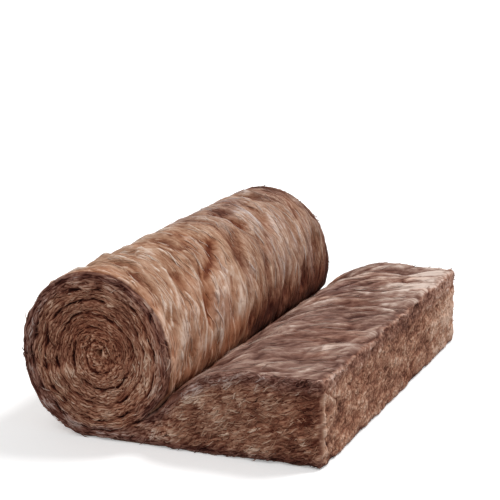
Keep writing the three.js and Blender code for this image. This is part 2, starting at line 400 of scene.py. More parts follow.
class End:
    """One sawn end of the blanket, drawn flat: points, faces and the edge round them.

    Every point has its place in the strip: how far along and how deep.
    """

    def __init__(self, strip):
        self.strip = strip
        self.places, self.where, self.from_seam, self.faces, self.inner_ends = [], [], [], [], []
        self.columns = [self.add_column(c) for c in range(len(strip.outer))]
        for c in range(len(self.columns) - 1):
            self.join(c)
        self.fill_core()
        self.edge = self.outline()
        self.places = np.array(self.places)
        self.where = np.array(self.where)
        self.from_seam = np.array(self.from_seam)
        self.grain = self.grain_of_layers()

    def add_column(self, column):
        """Adds a column's points, and shares its first one with the turn outside it."""
        strip = self.strip
        places, shares = strip.points(column)
        indices = []
        opposite = column - COLUMNS_PER_TURN
        for row, (place, share) in enumerate(zip(places, shares)):
            if row == 0 and opposite >= strip.free_columns + strip.open_columns:
                indices.append(self.inner_ends[opposite])
                continue
            indices.append(len(self.places))
            self.places.append(place)
            self.where.append((strip.along[column], share * strip.layering[column]))
            self.from_seam.append(self.seam_distance(column, share))
        self.inner_ends.append(indices[-1])
        return indices

    def seam_distance(self, column, share):
        """How far a point is from the nearest seam between two turns."""
        if column < self.strip.free_columns:
            return math.inf
        to_inner = (1 - share) * self.strip.thickness[column]
        if column < self.strip.free_columns + COLUMNS_PER_TURN:
            return to_inner
        return min(to_inner, share * self.strip.thickness[column])

    def add_face(self, *corners):
        """Adds a face from (column, row) pairs."""
        self.faces.append([self.columns[column][row] for column, row in corners])

    def join(self, c):
        """Fills between a column and the next, which may have a third as many rows."""
        rows, next_rows = self.strip.rows(c), self.strip.rows(c + 1)
        for j in range(next_rows):
            if rows == next_rows:
                self.add_face((c + 1, j), (c, j), (c, j + 1), (c + 1, j + 1))
                continue
            k = 3 * j
            self.add_face((c + 1, j), (c, k), (c, k + 1))
            self.add_face((c + 1, j), (c, k + 1), (c, k + 2), (c + 1, j + 1))
            self.add_face((c + 1, j + 1), (c, k + 2), (c, k + 3))

    def fill_core(self):
        """Rings from the last turn in to the axis."""
        last = len(self.columns) - 1
        ring = [self.columns[c][-1] for c in range(last - COLUMNS_PER_TURN, last + 1)]
        ring += self.columns[last][-2:0:-1]
        count = len(ring)
        rim = np.array([self.places[i] for i in ring])
        axis = np.array([AXIS_X, AXIS_HEIGHT])
        along = self.strip.along[last] + np.arange(count + 1) * TURN_THICKNESS / count
        for step in range(1, CORE_RINGS + 1):
            share = step / CORE_RINGS
            if step < CORE_RINGS:
                inside = list(range(len(self.places), len(self.places) + count))
                self.places += list(rim + share * (axis - rim))
                self.where += [(a, share * TURN_THICKNESS) for a in along[:-1]]
                self.from_seam += [share * TURN_THICKNESS / 2] * count
            else:
                inside = [len(self.places)] * count
                self.places.append(axis)
                self.where.append((along[0], TURN_THICKNESS))
                self.from_seam.append(TURN_THICKNESS / 2)
            for i in range(count):
                j = (i + 1) % count
                self.faces.append([ring[j], ring[i], inside[i]] + [inside[j]] * (step < CORE_RINGS))
            ring = inside

    def outline(self):
        """The edge, anticlockwise as it is seen from -Y: (point, along, deep, whether it is cut)."""
        strip, free = self.strip, self.strip.free_columns
        turned = free + COLUMNS_PER_TURN + strip.open_columns
        outside = [(self.columns[c][0], strip.along[c], 0.0, False) for c in range(turned + 1)]
        back = range(free + strip.open_columns - 1, -1, -1)
        top = [(self.columns[c][-1], strip.along[c], strip.layering[c], False) for c in back]
        cut = [
            (self.columns[0][row], 0.0, row / FREE_ROWS * strip.layering[0], True)
            for row in range(FREE_ROWS - 1, 0, -1)
        ]
        return (outside + top + cut)[::-1]

    def grain_of_layers(self):
        """The way the layers run at every point, and the slant of the strands in the free part."""
        strip = self.strip
        ahead, behind = (
            stacked(*(np.interp(self.where[:, 0] + step, strip.along, middle) for middle in strip.middle.T))
            for step in (GRAIN_STEP, -GRAIN_STEP)
        )
        from_axis = self.places - [AXIS_X, AXIS_HEIGHT]
        core = np.linalg.norm(from_axis, axis=1) < CORE_HOLLOW_RADIUS
        grain = ahead - behind
        grain[core] = from_axis[core][:, ::-1] * (-1, 1)
        lean = SIDE_LEAN * smooth(SIDE_LEAN_FROM, SIDE_LEAN_FROM + 0.12, self.places[:, 0])
        turned = stacked(
            grain[:, 0] * np.cos(lean) - grain[:, 1] * np.sin(lean),
            grain[:, 0] * np.sin(lean) + grain[:, 1] * np.cos(lean),
        )
        return turned / np.maximum(np.linalg.norm(turned, axis=1, keepdims=True), 1e-9)


# ---------------------------------------------------------------- the blanket's surface
class Surface:
    """The whole blanket: two ends, and rows of points from one to the other round the edge."""

    def __init__(self, strip, end):
        self.strip, self.end = strip, end
        self.edge = np.array([e[0] for e in end.edge])
        self.edge_where = np.array([(e[1], e[2]) for e in end.edge])
        self.edge_cut = np.array([e[3] for e in end.edge], dtype=float)
        inward = self.shape_of_end()
        rows = int((2 * HALF_WIDTH - 2 * EDGE_ROUNDING) / CROSS_STEP)
        across = np.linspace(-HALF_WIDTH + EDGE_ROUNDING, HALF_WIDTH - EDGE_ROUNDING, rows + 1)
        parts = [self.end_points(side, inward) for side in (-1, 1)]
        parts += [self.row_points(y) for y in across[1:-1]]
        self.places, self.where, self.sawn, self.cut, self.grain = (np.concatenate(p) for p in zip(*parts))
        rest = len(self.places) - 2 * len(end.places)
        self.edge_distance = np.concatenate([self.from_edge, self.from_edge, np.zeros(rest)])
        self.from_seam = np.concatenate([end.from_seam, end.from_seam, np.full(rest, np.inf)])

        far, count = len(end.places), len(self.edge)
        self.faces = end.faces + [[far + i for i in reversed(face)] for face in end.faces]
        between = (2 * far + k * count + np.arange(count) for k in range(rows - 1))
        rings = [self.edge, *between, far + self.edge]
        for a, b in zip(rings[:-1], rings[1:]):
            self.faces += np.stack([a, b, np.roll(b, -1), np.roll(a, -1)], axis=1).tolist()

    def shape_of_end(self):
        """How far in from the ends' flat plane each point lies: soft edges, dish and core."""
        end = self.end
        self.from_edge = distance_to_line(end.places, end.places[[*self.edge, self.edge[0]]])
        short = np.clip(EDGE_ROUNDING - self.from_edge, 0, None)
        inward = EDGE_ROUNDING - np.sqrt(EDGE_ROUNDING**2 - short**2)
        offset = (end.places - [AXIS_X, AXIS_HEIGHT]) / [ROLL_HALF_WIDTH, ROLL_HALF_HEIGHT]
        radius = np.linalg.norm(offset, axis=1) * ROLL_RADIUS
        inward += DISH_DEPTH * smooth(DISH_RADIUS, DISH_FLAT_RADIUS, radius)
        inward += CORE_HOLLOW_DEPTH * smooth(CORE_HOLLOW_RADIUS, 0, radius)
        return inward

    def wander(self, side):
        """How the turns wander from a true spiral on one end, as shifts of its points."""
        spot = (*(self.end.places / WANDER_LENGTH).T, 5.0 * side)
        loose = smooth(0.004, 0.045, self.from_edge) * WANDER
        return loose[:, None] * stacked(WANDER_X.cloud(3, *spot), WANDER_Z.cloud(3, *spot))

    def end_points(self, side, inward):
        """One end's points, places in the strip, how sawn and how cut they are, and their grain."""
        end = self.end
        y = side * (HALF_WIDTH - inward)
        flat = end.places + self.wander(side)
        sawn = smooth(0, EDGE_ROUNDING, self.from_edge)
        cut = (1 - sawn) * smooth(FREE_END - 0.022, FREE_END - 0.012, end.places[:, 0])
        where = np.column_stack([end.where, np.full(len(y), side * HALF_WIDTH)])
        return stacked(flat[:, 0], y, flat[:, 1]), where, sawn, cut, np.insert(end.grain, 1, 0, axis=1)

    def row_points(self, y):
        """The same for the points round the blanket at one place across its width."""
        places, where, on_cut = self.end.places[self.edge], self.edge_where, self.edge_cut
        ragged = 0.010 * RAGGED.cloud(2, 0.5, y / 0.05, np.zeros(len(on_cut)))
        cut = on_cut * smooth(0.004, 0.014, FULL_THICKNESS - places[:, 1] + ragged)
        slant = np.where(where[:, 1] > 0, TOP_SLANT, ROLL_SLANT)
        grain = np.insert(self.end.grain[self.edge], 1, -slant, axis=1)
        grain[on_cut > 0] = (0, 0, 1)
        where = np.column_stack([where, np.full(len(where), y)])
        return np.insert(places, 1, y, axis=1), where, np.zeros(len(where)), cut, grain

    def skin_places(self):
        """Every point's place along the strands of the skin and across them."""
        u, v, w = self.where.T
        on_top = v > 0.5 * np.interp(u, self.strip.along, self.strip.layering)
        return stacked(u, 0.5 * on_top, w + np.where(on_top, TOP_SLANT, ROLL_SLANT) * u)

    def end_places(self):
        """Every point's place in the ends' turned pattern, which runs out straight in the free part."""
        x, y, z = self.places.T
        across, up = (x - AXIS_X) / ROLL_HALF_WIDTH, (z - AXIS_HEIGHT) / ROLL_HALF_HEIGHT
        share = np.maximum(np.hypot(across, up), 1e-6)
        around = TURNED_RADIUS / share
        turned = stacked(around * across, share * ROLL_RADIUS, around * up)
        below_axis = AXIS_HEIGHT - z + math.tan(SIDE_LEAN) * np.maximum(x - SIDE_LEAN_FROM, 0)
        straight = stacked((x - AXIS_X) * TURNED_RADIUS / ROLL_RADIUS, below_axis, -TURNED_RADIUS)
        free = smooth(1.0, 1.2, share)[:, None]
        return turned + free * (straight - turned) + stacked(0 * x, 0, 2 * y)


def fold_depth(folds, along, across):
    """How far the broad folds have sunk the skin, at places along the blanket and across it."""
    total = np.zeros(len(along))
    for spacing, heading, start, depth in folds:
        turn = math.radians(heading)
        place = across * math.cos(turn) - along * math.sin(turn)
        total -= depth * np.sin(2 * math.pi * (place / spacing + start))
    return np.maximum(total, 0)


class Relief:
    """The wool's puffs, folds and layers.

    Every point of the blanket gets a height out of the surface, and a tone that is below 0 where the wool
    is darker and above 0 where it is paler. The tone also holds painted shade at the nip, in creases, in the
    ends' gaps, under edges and along the floor, and painted light on a lip, a ridge and the ends' lower
    parts.
    Shares say how combed it is, and how far it is tinted purple and how far reddish, as the wool's own hue
    and as the colour of its painted shade.
    """

    def __init__(self, surface):
        self.surface = surface
        u, v, w = surface.where.T
        self.on_top = (v > 0).astype(float)
        self.on_roll = 1 - self.on_top
        self.patchy = DRIFT.cloud(3, u / 0.06, v / 0.03 + 11, w / 0.08)
        self.in_crease = np.zeros(len(u))
        self.height, self.tone = self.skin()
        for share, (height, tone) in ((surface.cut, self.cut()), (surface.sawn, self.sawn())):
            self.height += share * (height - self.height)
            self.tone += share * (tone - self.tone)
        skin_share = (1 - surface.sawn) * (1 - surface.cut)
        self.mauve, self.rust_hue_and_shade = np.zeros(len(u)), np.zeros(len(u))
        for share, (tone, mauve, rust_hue_and_shade) in (
            (skin_share, self.skin_tone()),
            (surface.cut, self.cut_tone()),
            (surface.sawn, self.end_tone()),
        ):
            self.tone += share * tone
            self.mauve += share * np.clip(mauve, 0, 1)
            self.rust_hue_and_shade += share * np.clip(rust_hue_and_shade, 0, 1)

    def skin(self):
        """The roll's outside and the free part's top: pillows and folds, and strands where it is combed."""
        u, v, w = self.surface.where.T
        on_top, on_roll, face = self.on_top, self.on_roll, v / FACES_APART
        slanted = w + np.where(v > 0, TOP_SLANT, ROLL_SLANT) * u
        strand = slanted + 0.020 * DRIFT.cloud(2, u / 0.12, face, slanted / 0.10)
        shifted = u + 0.030 * DRIFT.cloud(2, u / 0.10 + 9.5, face, slanted / 0.08)
        broad = BROAD.cloud(2, u / 0.24, face + 3, w / 0.19)
        pillows = FOLDS.puffs(1, shifted / 0.16, face, strand / 0.085, sharp=2.5)
        billows = FOLDS.puffs(2, shifted / 0.22 + 5, face, strand / 0.120, gain=0.25, sharp=3)
        folds = FOLDS.puffs(2, shifted / 0.11, face + 2, strand / 0.036, sharp=3)
        lumps = FOLDS.cloud(3, shifted / 0.050, face + 9, strand / 0.042)
        strands = FINE.puffs(1, shifted / 0.070, face, strand / 0.014, sharp=3)
        bumps = smooth(0.16, 0.46, FINE.cloud(2, shifted / 0.060, face + 21, strand / 0.020))
        combed = 0.05 + 0.85 * on_roll * smooth(-0.25, 0.10, self.surface.places[:, 1] + 0.15 * broad)
        combed = np.clip(combed + 0.4 * DRIFT.cloud(2, u / 0.14, face + 15, w / 0.11), 0, 1)
        self.combed = combed * (1 - 0.6 * on_top)
        matted = 1 - self.combed
        fold_height = (0.002 + 0.0045 * self.combed) * on_roll + 0.0022 * on_top
        strand_height = 0.0004 + 0.0018 * self.combed
        height = PILLOW_HEIGHT * (pillows - PUFF_MIDDLE) * on_roll
        height += BILLOW_HEIGHT * on_top * (billows - 0.65)
        height += BROAD_HEIGHT * broad
        height += fold_height * (folds - PUFF_MIDDLE) + LUMP_HEIGHT * matted * lumps
        height += strand_height * (strands - PUFF_MIDDLE)
        height += BUMP_HEIGHT * bumps * matted * on_roll
        dent_height, dent_tone = self.dents()
        tone = 0.25 * broad + 0.22 * bumps * matted * on_roll
        return height + dent_height - self.broad_folds(), tone + dent_tone

    def broad_folds(self):
        """How far the solid's broad folds sink the skin of the roll and of the free part's top."""
        x, y, z = self.surface.places.T
        nip = on_winding(NIP_ANGLE, 1)
        from_nip = np.hypot(x - nip[0], z - nip[1])
        around = ROLL_RADIUS * (np.arctan2(x - AXIS_X, AXIS_HEIGHT - z) % (2 * math.pi))
        depth = np.where(self.on_top, fold_depth(TOP_FOLDS, x, y), fold_depth(ROLL_FOLDS, around, y))
        edge = np.minimum(HALF_WIDTH - np.abs(y), np.where(self.on_top, FREE_END - x, z))
        fade = smooth(FOLD_FADE_START, FOLD_FADE_END, np.minimum(edge, from_nip))
        return (1 - self.surface.cut) * fade * depth

    def dents(self):
        """The named creases of the roll's outside and of the free part's top."""
        u, v, w = self.surface.where.T
        spots = stacked(u, w)
        height = np.zeros(len(u))
        for line, depth, half_width in ROLL_CREASES:
            line = np.array([(self.surface.strip.along_at(math.radians(angle)), y) for angle, y in line])
            far = distance_to_line(spots, line) * (1 + 0.35 * DRIFT(stacked(u / 0.03, v + 3, w / 0.03)))
            here = (v == 0) * bell(far, half_width, 1.5)
            height += 0.4 * depth * (v == 0) * bell(far, 4 * half_width) - 1.4 * depth * here
            self.in_crease += here
        line = np.array([(FREE_END - x, y) for x, y in TOP_CREASE])
        far = distance_to_line(spots, line) * (1 + 0.35 * DRIFT(stacked(u / 0.03, v + 5, w / 0.03)))
        here = (v > 0) * bell(far, TOP_CREASE_HALF_WIDTH, 1.5)
        from_lip = distance_to_line(spots, line - (0, 2 * TOP_CREASE_HALF_WIDTH))
        lip = (v > 0) * bell(from_lip, TOP_CREASE_HALF_WIDTH)
        height += TOP_CREASE_DEPTH * (0.5 * lip - here)
        uneven = smooth(-0.45, 0.45, DRIFT.cloud(2, u / 0.030, v + 7, w / 0.040))
        # Painted shade in the creases, and a painted highlight on the lip beside the top crease.
        tone = (0.16 * lip - 0.30 * here) * uneven - 0.15 * here - 0.10 * self.in_crease
        return height, tone

    def cut(self):
        """The face that was sawn across the blanket: tufts that stand out of layers."""
        y, z = self.surface.places.T[1:]
        broad = BROAD.cloud(2, 5, y / 0.12, z / 0.07)
        folds = FOLDS.cloud(3, 5, y / 0.045, z / 0.026)
        tufts = FINE.puffs(2, 5, y / 0.020, z / 0.014)
        flap, lip = self.corner_flap()
        height = CUT_HEIGHT * broad + CUT_HEIGHT * folds
        height += TUFT_HEIGHT * (1 - 0.6 * flap) * (tufts - PUFF_MIDDLE)
        height = height + FLAP_HEIGHT * flap - FLAP_HEIGHT * lip
        # The dip beside the flap's lip is drawn darker: a painted shadow line.
        return height, 0.30 * broad + 0.05 * flap - 0.16 * lip

    def corner_flap(self):
        """The torn flap beside the near upright corner: 1 on it, and 1 on the painted shadow beside its lip.
        """
        y, z = self.surface.places.T[1:]
        level, reach = np.array(CORNER_FLAP).T[::-1]
        off = y - np.interp(z, level[::-1], reach[::-1]) + 0.022 * FINE.cloud(3, 7, y / 0.04, z / 0.04)
        return smooth(0.004, -0.012, off), bell(off - 0.006, 0.006) * smooth(0.185, 0.150, z)

    def sawn(self):
        """The ends: thin layers that run round the roll and lean upwards in the free part."""
        u, v = self.surface.where.T[:2]
        x, y, z = self.surface.places.T
        side = np.sign(y)
        free = smooth(SIDE_LEAN_FROM - 0.06, SIDE_LEAN_FROM + 0.08, x)
        meander = DRIFT.cloud(3, x / 0.050, 4 * side, z / 0.050)
        sway = DRIFT.cloud(2, x / 0.045, 4 * side + 1.5, z / 0.045)
        lumps = BROAD.cloud(2, x / 0.070, 6 * side, z / 0.070)
        height = (1 - free) * self.pressed_layers()
        upwards = x * np.cos(SIDE_LEAN) + z * np.sin(SIDE_LEAN)
        outwards = z * np.cos(SIDE_LEAN) - x * np.sin(SIDE_LEAN)
        for along, across, share in (
            (u + 0.025 * sway, v + 0.009 * meander, 1 - free),
            (upwards + 0.015 * sway, outwards + 0.010 * meander, free),
        ):
            bundles = FOLDS.puffs(2, along / 0.060, across / 0.017, 3 * side)
            layers = BROAD.puffs(2, along / 0.040, across / 0.0075, 3 * side)
            fine = FINE.puffs(2, along / 0.022, across / 0.0038, 3 * side)
            thin = LAYER_HEIGHT * (layers - PUFF_MIDDLE) + FINE_HEIGHT * (fine - PUFF_MIDDLE)
            thick = (BUNDLE_HEIGHT + 0.0005 * free) * (bundles - PUFF_MIDDLE)
            height += share * (thick + (1 - 0.75 * (1 - free)) * thin)
        from_axis = np.hypot(x - AXIS_X, z - AXIS_HEIGHT)
        core = bell(from_axis, CORE_CLUMP_RADIUS)
        clump = FOLDS.puffs(2, x / 0.026, 5 * side, z / 0.026)
        opened = smooth(-0.35, 0.45, DRIFT(stacked(x / 0.060, 4 * side + 8, z / 0.060)))
        groove = bell(self.surface.from_seam, SEAM_HALF_WIDTH, 1.4) * opened * (1 - core)
        lump_height = END_LUMP_HEIGHT + 0.005 * free
        height += lump_height * lumps - 0.6 * SEAM_DEPTH * groove + core * CLUMP_HEIGHT * (clump - 0.5)
        height *= 1 - 0.85 * bell(from_axis, CORE_HOLLOW_RADIUS)
        # The seam grooves are drawn darker too: painted shade.
        return height, 0.10 * lumps - 0.20 * groove

    def pressed_layers(self):
        """The roll's layers where they are pressed close: even lines that crumple and run together."""
        u, v = self.surface.where.T[:2]
        side = np.sign(self.surface.places[:, 1])
        crumple = DRIFT.cloud(3, u / 0.030, v / 0.016, 7 * side, gain=0.6)
        merge = smooth(-0.5, 0.3, DRIFT.cloud(2, u / 0.070, v / 0.020, 9 * side))
        height = np.zeros(len(u))
        for spacing, deep in PRESSED_LAYERS:
            phase = math.pi * (v / spacing + 1.1 * crumple * PRESSED_LAYERS[0][0] / spacing)
            height += deep * (0.4 + 0.6 * merge) * (0.5 - np.exp(-3.0 * np.abs(np.sin(phase))))
        return height

    def skin_tone(self):
        """The wide darker and paler stretches of the roll's outside and the top, and painted shade at the
        nip.
        """
        x, y, z = self.surface.places.T
        on_top, on_roll, patchy, strip = self.on_top, self.on_roll, self.patchy, self.surface.strip
        nip = strip.inner[strip.free_columns]
        from_nip = np.hypot(x - nip[0], z - nip[1])
        reach = 0.050 + 0.030 * patchy + 0.035 * on_roll * smooth(-0.30, -0.15, y)
        nip_shade = bell(from_nip, np.maximum(reach, 0.02))
        nip_tone = 0.14 * on_top + on_roll * (0.10 + 0.34 * smooth(-0.30, 0.10, y))
        angle = np.degrees(np.arctan2(z - AXIS_HEIGHT, x - AXIS_X))
        patches = np.where(on_top, self.patches(TOP_PATCHES, x, y), self.patches(ROLL_PATCHES, angle, y))
        far_rim = smooth(0.545, 0.590, y + 0.016 * patchy)
        near_rim = smooth(-0.535, -0.570, y + 0.020 * patchy)
        low_left = smooth(60, 30, angle) * smooth(0.05, -0.20, y)
        # Paler along the roll's top towards the near end: a painted highlight.
        ridge = smooth(22, 6, np.abs(angle - 112)) * smooth(0.2, -0.1, y)
        roll = 0.26 * low_left + 0.16 * ridge + 0.15 * smooth(0.0, 0.2, y) + 0.12 * patchy
        roll += 0.08 * near_rim - 0.30 * far_rim
        along, far = self.surface.where[:, 0], smooth(-0.1, 0.5, y)
        top = 0.02 + 0.10 * far + (0.02 + 0.34 * far) * smooth(0.10, 0.02, along + 0.06 * patchy)
        top -= 0.10 * smooth(0.25, 0.45, along)
        tone = on_roll * roll + on_top * top + patches
        # Painted shade at and beside the nip and in the creases: darker, and tinted purple and reddish.
        tone -= nip_tone * np.minimum(1, 1.5 * nip_shade) + 0.22 * bell(from_nip, 0.024)
        mauve = on_roll * (far_rim + (0.35 + 0.6 * nip_shade) * smooth(-0.1, 0.2, y))
        rust_hue_and_shade = on_roll * (0.5 * low_left * (0.5 + patchy) + 0.3 * near_rim)
        return tone, mauve + np.clip(-3 * patches, 0, 1), rust_hue_and_shade + 1.6 * nip_shade + 0.8 * self.in_crease

    def patches(self, table, first, second):
        """How much darker or paler the skin is in the patches of a table."""
        total = np.zeros(len(first))
        for at_first, at_second, reach_first, reach_second, change in table:
            off = np.hypot((first - at_first) / reach_first, (second - at_second) / reach_second)
            total += change * smooth(1.3, 0.3, off + 0.6 * self.patchy)
        return total

    def cut_tone(self):
        """The cut face: paler towards the far end, painted shade under the top edge and along the floor."""
        y, z = self.surface.places.T[1:]
        under_edge_shade = smooth(0.070, 0.030, FULL_THICKNESS - z + 0.030 * self.patchy)
        floor_shade_line = smooth(0.014, 0.004, z)
        tone = 0.07 - 0.06 * smooth(-0.4, -0.1, y) + 0.31 * smooth(0.2, 0.55, y)
        tone += 0.12 * self.patchy - 0.12 * under_edge_shade - 0.22 * floor_shade_line
        return tone, 0.5 * under_edge_shade + floor_shade_line, np.full(len(y), 0.5)

    def end_tone(self):
        """The ends: the roll with its rim and its middle, and the sides of the free part."""
        free = smooth(SIDE_LEAN_FROM - 0.08, SIDE_LEAN_FROM + 0.02, self.surface.places[:, 0])
        (roll, roll_mauve, rust_hue_and_shade), (side, side_mauve) = self.roll_end_tone(), self.free_side_tone()
        return (1 - free) * roll + free * side, (1 - free) * roll_mauve + free * side_mauve, rust_hue_and_shade

    def roll_end_tone(self):
        """Painted shade inside the roll's edge and in the gaps between turns, and its outer turn and middle.
        """
        surface, patchy = self.surface, self.patchy
        x, _, z = surface.places.T
        edge = surface.edge_distance + 0.006 * patchy
        to_right = np.abs(np.arctan2(z - AXIS_HEIGHT, x - AXIS_X) - 0.5)
        ring = bell(edge - 0.014, 0.005) * (0.9 + 0.2 * patchy)
        outer_turn = (0.4 + 0.6 * smooth(1.2, 2.0, to_right)) * smooth(0.050, 0.034, edge)
        gap = bell(surface.from_seam, 0.005, 1.5) * (0.8 + 0.4 * patchy)
        middle = smooth(0.07, 0.02, np.hypot(x - AXIS_X, z - AXIS_HEIGHT))
        inside = smooth(0.030, 0.060, edge)
        beside = smooth(0.105, 0.145, x - AXIS_X) * smooth(0.14, 0.06, np.abs(z - AXIS_HEIGHT))
        tone = 0.05 - 0.32 * ring + 0.02 * outer_turn - 0.20 * np.clip(gap, 0, 1) + 0.08 * middle
        # Painted light: paler along the bottom of the rim, where little light reaches.
        tone += 0.08 * smooth(0.09, 0.04, z) * smooth(0.05, 0.02, edge)
        # Painted light and shade of the dished face: paler in its lower part, darker in its upper part.
        tone += 0.04 * inside * (smooth(0.22, 0.12, z) - smooth(0.20, 0.28, z))
        tone += 0.16 * beside * smooth(0.018, 0.032, edge)
        rust_hue_and_shade = 0.45 * smooth(0.15, 0.04, np.hypot(x - AXIS_X, z - AXIS_HEIGHT - 0.03))
        return tone, ring + 0.9 * outer_turn, rust_hue_and_shade

    def free_side_tone(self):
        """Painted shade under the top edge and along the floor; paler at the nip's shoulder and the cut
        face.
        """
        patchy, strip = self.patchy, self.surface.strip
        u, v, _ = self.surface.where.T
        x, _, z = self.surface.places.T
        deep = v / np.interp(u, strip.along, strip.layering)
        from_top = (1 - deep) * np.interp(u, strip.along, strip.thickness)
        under_top_shade = smooth(0.060, 0.015, from_top + 0.020 * patchy)
        # Painted shade along the floor.
        low = smooth(0.035, 0.008, z + 0.012 * patchy)
        from_cut = FREE_END - x + 0.008 * patchy
        shoulder = smooth(0.09, 0.03, np.hypot(x - 0.07, (z - 0.165) * 1.5))
        tone = 0.10 - 0.07 * under_top_shade - 0.30 * low - 0.12 * smooth(0.25, 0.38, x) + 0.16 * shoulder
        tone += 0.16 * smooth(0.018, 0.004, from_cut)
        tone -= 0.14 * bell(from_cut - 0.040, 0.018) * smooth(-0.1, 0.4, patchy)
        return tone, under_top_shade + low


# ---------------------------------------------------------------- the blanket's mesh
def make_mesh(name, places, faces):
    """A mesh from an array of points and lists of their numbers."""
    mesh = bpy.data.meshes.new(name)
    mesh.from_pydata(places.tolist(), [], [[int(i) for i in face] for face in faces])
    mesh.validate()
    return mesh


def normals_of(mesh):
    """The way out of the surface at every point."""
    normals = np.empty(len(mesh.vertices) * 3)
    mesh.vertex_normals.foreach_get("vector", normals)
    return normals.reshape(-1, 3)


def crest_of(mesh, relief):
    """How high the relief is to what is round it: 0 deep in a crease, 0.5 on the level and 1 on a crest."""
    points = len(relief)
    pairs = np.empty(len(mesh.edges) * 2, dtype=np.int32)
    mesh.edges.foreach_get("vertices", pairs)
    one, other = pairs.reshape(-1, 2).T
    count = np.bincount(one, minlength=points) + np.bincount(other, minlength=points)
    level, crest = relief.copy(), np.zeros(points)
    steps = 0
    for reach, height, weight in CREST_SCALES:
        while steps < reach:
            level = (np.bincount(one, level[other], points) + np.bincount(other, level[one], points)) / count
            steps += 1
        crest += weight * np.tanh((relief - level) / height)
    return 0.5 + 0.5 * crest


def store(mesh, name, values):
    """Keeps a number or a vector for every point of a mesh, under a name that materials can read."""
    kind, field = ("FLOAT_VECTOR", "vector") if values.ndim > 1 else ("FLOAT", "value")
    layer = mesh.attributes.new(name, kind, "POINT")
    layer.data.foreach_set(field, np.ascontiguousarray(values, dtype=np.float32).ravel())


def crease_shade_contrast(surface, free):
    """How much paler crests are than creases at every point, as painted light and painted shade."""
    on_top = surface.where[:, 1] > 0
    contrast = ROLL_CONTRAST + on_top * (TOP_CONTRAST - ROLL_CONTRAST)
    contrast *= 1 + FAR_TOP_CONTRAST * on_top * smooth(0.0, 0.4, surface.places[:, 1])
    contrast += surface.cut * (CUT_CONTRAST - contrast)
    return contrast + surface.sawn * (END_CONTRAST + free * (SIDE_CONTRAST - END_CONTRAST) - contrast)


def strand_masks(surface, free, heights):
    """Where each kind of loose strand lies, as shares from 0 to 1."""
    on_top, near = surface.where[:, 1] > 0, surface.places[:, 1] < 0
    sawn = (surface.sawn > 0.3) * (surface.places[:, 0] < FREE_END - NO_STRANDS_BELOW)
    sawn = sawn * (ROLL_END_COVER + free * (1 - ROLL_END_COVER))
    outside = (surface.sawn == 0) & (surface.cut == 0) & (heights > NO_STRANDS_BELOW)
    return {
        "on_near_end": near * sawn,
        "on_far_end": ~near * sawn,
        "on_cut_face": surface.cut > 0.5,
        "on_roll": outside & (surface.where[:, 1] == 0),
        "on_top_face": outside & on_top,
    }


def blanket():
    """The blanket's one closed surface, with what its material and its strands need to know."""
    strip = Strip()
    surface = Surface(strip, End(strip))
    relief = Relief(surface)
    mesh = make_mesh("blanket", surface.places, surface.faces)
    places = surface.places + relief.height[:, None] * normals_of(mesh)
    places[:, 2] = np.maximum(places[:, 2], 0)
    mesh.vertices.foreach_set("co", places.astype(np.float32).ravel())
    mesh.update()
    free = smooth(SIDE_LEAN_FROM, SIDE_LEAN_FROM + 0.10, surface.places[:, 0])
    known = {
        # crest: painted shade in creases and painted light on crests, measured from the relief
        "crest": 0.5 + crease_shade_contrast(surface, free) * (crest_of(mesh, relief.height) - 0.5),
        "tone": relief.tone,
        "mauve": relief.mauve,
        "rust_hue_and_shade": relief.rust_hue_and_shade,
        "combed": relief.combed,
        "sawn": surface.sawn,
        "cut": surface.cut,
        "top": surface.where[:, 1] > 0,
        "grain": surface.grain,
        "skin_place": surface.skin_places(),
        "end_place": surface.end_places(),
    }
    for name, values in (known | strand_masks(surface, free, places[:, 2])).items():
        store(mesh, name, values)
    mesh.update()
    return finish_mesh("wool_blanket_body", mesh)


def plain_mesh(obj, name):
    """Replaces an object's mesh by what its modifiers make of it."""
    made = bpy.data.meshes.new_from_object(obj.evaluated_get(bpy.context.evaluated_depsgraph_get()))
    obj.modifiers.clear()
    obj.data = made
    made.name = name


def finish_mesh(name, mesh):
    """Thins the mesh to what one piece may hold and makes it a smooth-shaded object."""
    obj = bpy.data.objects.new(name, mesh)
    bpy.context.scene.collection.objects.link(obj)
    triangles = sum(len(p.vertices) - 2 for p in mesh.polygons)
    obj.modifiers.new("Thin", "DECIMATE").ratio = min(1, MOST_TRIANGLES / triangles)
    plain_mesh(obj, name)
    bpy.data.meshes.remove(mesh)
    obj.data.shade_smooth()
    return obj


# ---------------------------------------------------------------- nodes
class Value:
    """What a node gives out. Sums and products of values add the nodes that work them out."""

    def __init__(self, socket):
        self.socket, self.tree = socket, socket.id_data

    def beside(self, name):
        """Another output of the same node."""
        return Value(self.socket.node.outputs[name])

    def __add__(self, other):
        return maths("ADD", self, other)

    def __sub__(self, other):
        return maths("SUBTRACT", self, other)

    def __rsub__(self, other):
        return maths("SUBTRACT", other, self)

    def __mul__(self, other):
        return maths("MULTIPLY", self, other)

    __radd__, __rmul__ = __add__, __mul__


def node(tree, kind, inputs=None, output=None, **settings):
    """Adds a node and returns an output, the first if none is named. Inputs have names or numbers."""
    made = tree.nodes.new(kind)
    for key, value in settings.items():
        setattr(made, key, value)
    for key, value in (inputs or {}).items():
        matching = (s for s in made.inputs if s.enabled and s.name == key)
        socket = made.inputs[key] if isinstance(key, int) else next(matching)
        if isinstance(value, Value):
            tree.links.new(value.socket, socket)
        else:
            socket.default_value = value
    if output is not None:
        return Value(made.outputs[output])
    return next((Value(s) for s in made.outputs if s.enabled), None)


def maths(operation, *values, clamp=False):
    """Works something out from values and plain numbers, kept from 0 to 1 if it is clamped."""
    tree = next(value.tree for value in values if isinstance(value, Value))
    return node(tree, "ShaderNodeMath", dict(enumerate(values)), operation=operation, use_clamp=clamp)


